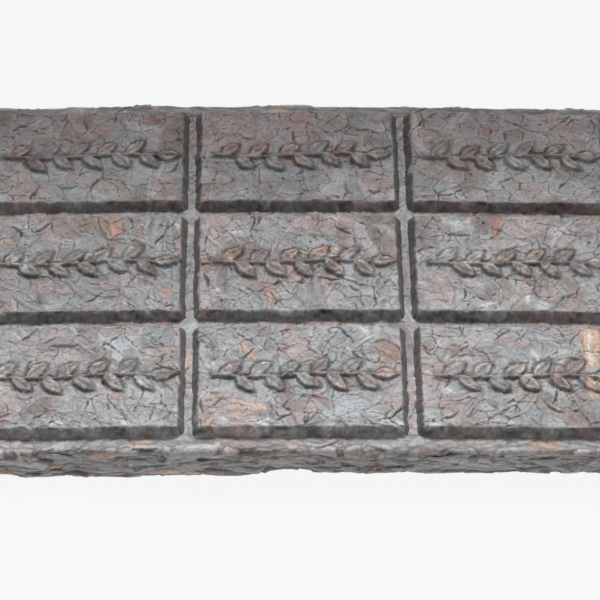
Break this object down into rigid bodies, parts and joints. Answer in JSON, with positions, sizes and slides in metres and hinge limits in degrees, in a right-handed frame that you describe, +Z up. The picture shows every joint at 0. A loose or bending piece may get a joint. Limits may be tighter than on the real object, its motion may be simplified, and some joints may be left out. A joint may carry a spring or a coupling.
{
  "type": "oolong tea brick",
  "caption": "Flat brick of pressed oolong leaf with a rim, scored into rectangular tablets to snap off, each with a leaf sprig in relief.",
  "frame": {"origin": "centre of the bounding box's bottom face, on the flat underside", "axes": "+X along the brick's long side, +Y across it, +Z up out of the scored face"},
  "size_m": [0.1, 0.064, 0.0082],
  "materials": {
    "pressed_tea": "dry pressed oolong leaf in grey-brown and dark blue-green, with a faint waxy sheen"
  },
  "bodies": {
    "root": {"tea_brick": "pressed_tea"}
  },
  "joints": []
}
